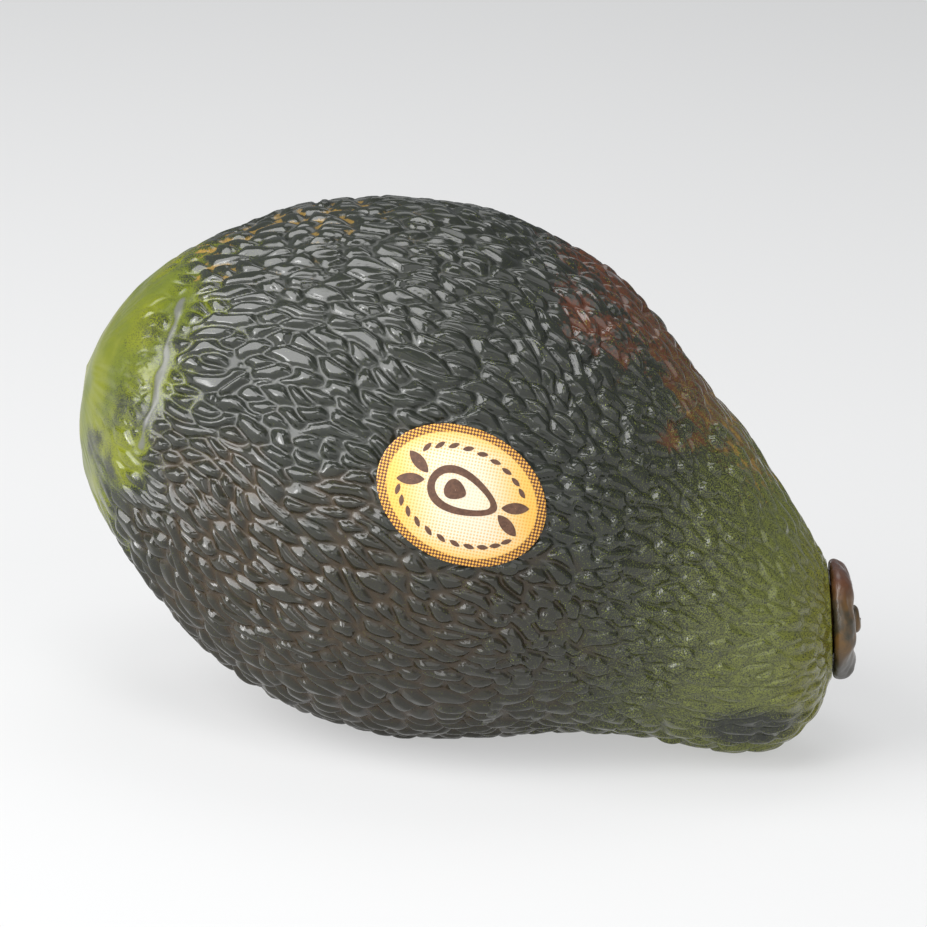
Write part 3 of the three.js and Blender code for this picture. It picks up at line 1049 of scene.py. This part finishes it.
EMBLEM_UP = 0.3
LEAF_ARCS = (  # in degrees from and to, how many leaves, the arc's half axes, and their lean
    (38, 142, 9, 8.6, 5.9, -1.25),
    (208, 332, 11, 8.8, 6.0, 1.25),
)
solid_shapes = [pear_outline(-1.1, EMBLEM_UP, 2.9, 2.5)]
for side in (-1, 1):
    for tilt in (-0.42, 0.42):
        solid_shapes.append(
            leaf_outline(side * 6.9, EMBLEM_UP + 2.9 * tilt, side * tilt, 3.6, 1.5))
for start, stop, leaves, half_x, half_y, leaf_lean in LEAF_ARCS:
    for turn in np.linspace(math.radians(start), math.radians(stop), leaves):
        solid_shapes.append(leaf_outline(
            half_x * math.cos(turn), half_y * math.sin(turn), turn + leaf_lean, 1.5, 0.62))
shapes = [(pear_outline(0, EMBLEM_UP, 9.6, 5.6), pear_outline(0, EMBLEM_UP, 7.7, 3.8))]
shapes += [(outline, shrunk(outline, 0.02)) for outline in solid_shapes]

ink_points, ink_faces = [], []
for outside, inside in shapes:
    band = ink_band(outside, inside)
    count = band.shape[1]
    first = sum(len(p) for p in ink_points)
    ink_points.append(band.reshape(-1, 3))
    for ring in range(4):
        here, there = first + ring * count, first + (ring + 1) % 4 * count
        ink_faces += [(here + k, here + (k + 1) % count, there + (k + 1) % count, there + k)
                      for k in range(count)]
ink_mesh = bpy.data.meshes.new("label_emblem")
ink_mesh.from_pydata(np.vstack(ink_points).tolist(), [], ink_faces)
ink_mesh.update()
emblem = in_scene("label_emblem", ink_mesh)
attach(emblem, "root")


INK_DARK, INK_PALE = (0.065, 0.026, 0.012, 1), (0.11, 0.05, 0.026, 1)


def ink_material():
    material, tree, shader, place = new_material("brown_ink")
    patchy = remap(tree, noise(tree, place, 2400.0, 3.0, 0.6), 0.35, 0.65)
    colour = blend_colours(tree, patchy, INK_DARK, INK_PALE)
    tree.links.new(colour, shader.inputs["Base Color"])
    tree.links.new(remap(tree, patchy, 0.0, 1.0, 0.42, 0.52), shader.inputs["Roughness"])
    return material


emblem.data.materials.append(ink_material())
print("emblem shapes:", len(shapes))

# %% [markdown]
# ## The shot
#
# Small steel balls, tumbled smooth, with the faint flats and the band that the dies
# leave. They are hidden, but they are what makes the shaker sound, so each is a piece.

# %% Make one ball and lay it in every place
def shot_mesh(ball_radius):
    """A ball with a die band round its middle and slight flats."""
    rows, columns = 40, 64
    rise = np.linspace(0, math.pi, rows)[:, None]
    turn = np.linspace(0, 2 * math.pi, columns, endpoint=False)
    away = ball_radius * np.stack([np.sin(rise) * np.cos(turn), np.sin(rise) * np.sin(turn),
                                   np.cos(rise) + 0 * turn], axis=-1)
    band = 1 + 0.004 * np.exp(-np.square((rise - math.pi / 2) / 0.06))
    flats = 1 - 0.006 * np.clip(swell(away, 2.4 * MM, waves=8), 0, 1)
    return away * (band * flats)[..., None]


STEEL_DULL, STEEL_BRIGHT = (0.42, 0.42, 0.41, 1), (0.62, 0.61, 0.59, 1)


def shot_material():
    material, tree, shader, place = new_material("tumbled_steel")
    dull = remap(tree, noise(tree, place, 1500.0, 4.0, 0.6), 0.3, 0.7)
    colour = blend_colours(tree, dull, STEEL_DULL, STEEL_BRIGHT)
    shader.inputs["Metallic"].default_value = 1.0
    wire_up(tree, shader, colour, remap(tree, dull, 0.0, 1.0, 0.48, 0.3), dull, 0.3, 0.02)
    return material


shot_nodes = sorted(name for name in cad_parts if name.startswith("shot_"))
low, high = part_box(shot_nodes[0])
ball_points = shot_mesh((high.z - low.z) / 2)
ball = closed_tube("shot_ball", ball_points[1:-1][::-1], ball_points[-1, 0], ball_points[0, 0])
ball.data.materials.append(shot_material())
for name in shot_nodes:
    low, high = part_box(name)
    piece = ball if name == shot_nodes[0] else in_scene("shot_ball", ball.data)
    piece.name = name.replace("shot_", "shot_ball_")
    piece.location = (low + high) / 2
    piece.rotation_euler = (0.9 * len(name), 2.1 * low.x / MM, 1.3 * low.y / MM)
    bpy.context.view_layer.update()
    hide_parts(name)
    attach(piece, "root")
print("balls laid:", len(shot_nodes))

# %% [markdown]
# ## Floor and light
#
# A glossy dark thing is drawn by what it reflects. The large key light up to the left
# lays a broad grey sheen on the shoulder, and one overhead does the same for the top. A
# small one above the camera puts a pin on every lump, a smaller one low on the left finds
# the blossom end, and two soft ones in front fill the neck and the belly. The pale floor
# adds its dim glow from below, and the rest of the room stays darker.

# %% Floor
FLOOR_HALF, FLOOR_GREY, FLOOR_GLOW = 6, 0.3, 0.46
floor_mesh = bpy.data.meshes.new("floor")
corners = [(x * FLOOR_HALF, y * FLOOR_HALF, 0) for x, y in ((-1, -1), (1, -1), (1, 1), (-1, 1))]
floor_mesh.from_pydata(corners, [], [(0, 1, 2, 3)])
floor = in_scene("floor", floor_mesh)
material, tree, shader, place = new_material("pale_floor")
shader.inputs["Base Color"].default_value = (FLOOR_GREY, FLOOR_GREY, FLOOR_GREY, 1)
shader.inputs["Roughness"].default_value = 0.9
shader.inputs["Emission Color"].default_value = (1, 1, 1, 1)
shader.inputs["Emission Strength"].default_value = FLOOR_GLOW
floor_mesh.materials.append(material)


# %% Lights
def soft_light(name, right, up, towards, distance, size, brightness):
    """A square light in a direction given in the camera's terms, facing the shaker."""
    light = bpy.data.lights.new(name, "AREA")
    light.shape = "SQUARE"
    light.size = size
    light.energy = brightness * math.pi * size * size
    holder = in_scene(name, light)
    way = (right * view_right + up * view_up + towards * view_back).normalized()
    holder.location = middle + distance * way
    holder.rotation_euler = way.to_track_quat("Z", "Y").to_euler()


for lamp in (  # how far right, up and towards the camera, then distance, size, brightness
    ("key", -0.7, 0.4, 0.6, 0.9, 0.84, 6.8),
    ("overhead", 0.1, 0.95, -0.2, 0.9, 0.5, 2.0),
    ("above camera", 0.0, 0.74, 0.67, 0.9, 0.36, 6.5),
    ("low left", -0.86, 0.0, 0.5, 0.9, 0.2, 13.0),
    ("front right", 0.55, 0.2, 0.8, 1.2, 0.9, 1.4),
    ("low front", -0.05, -0.03, 1.0, 0.9, 0.32, 4.5),
):
    soft_light(*lamp)
world = bpy.data.worlds.new("studio")
bpy.context.scene.world = world
world.use_nodes = True
world.node_tree.nodes["Background"].inputs["Color"].default_value = (0.9, 0.95, 1, 1)
world.node_tree.nodes["Background"].inputs["Strength"].default_value = 0.3
bpy.context.scene.view_settings.view_transform = "Standard"

# %% Record the sizes and finish
print("solid box:", [[round(v, 4) for v in corner] for corner in cad_box])
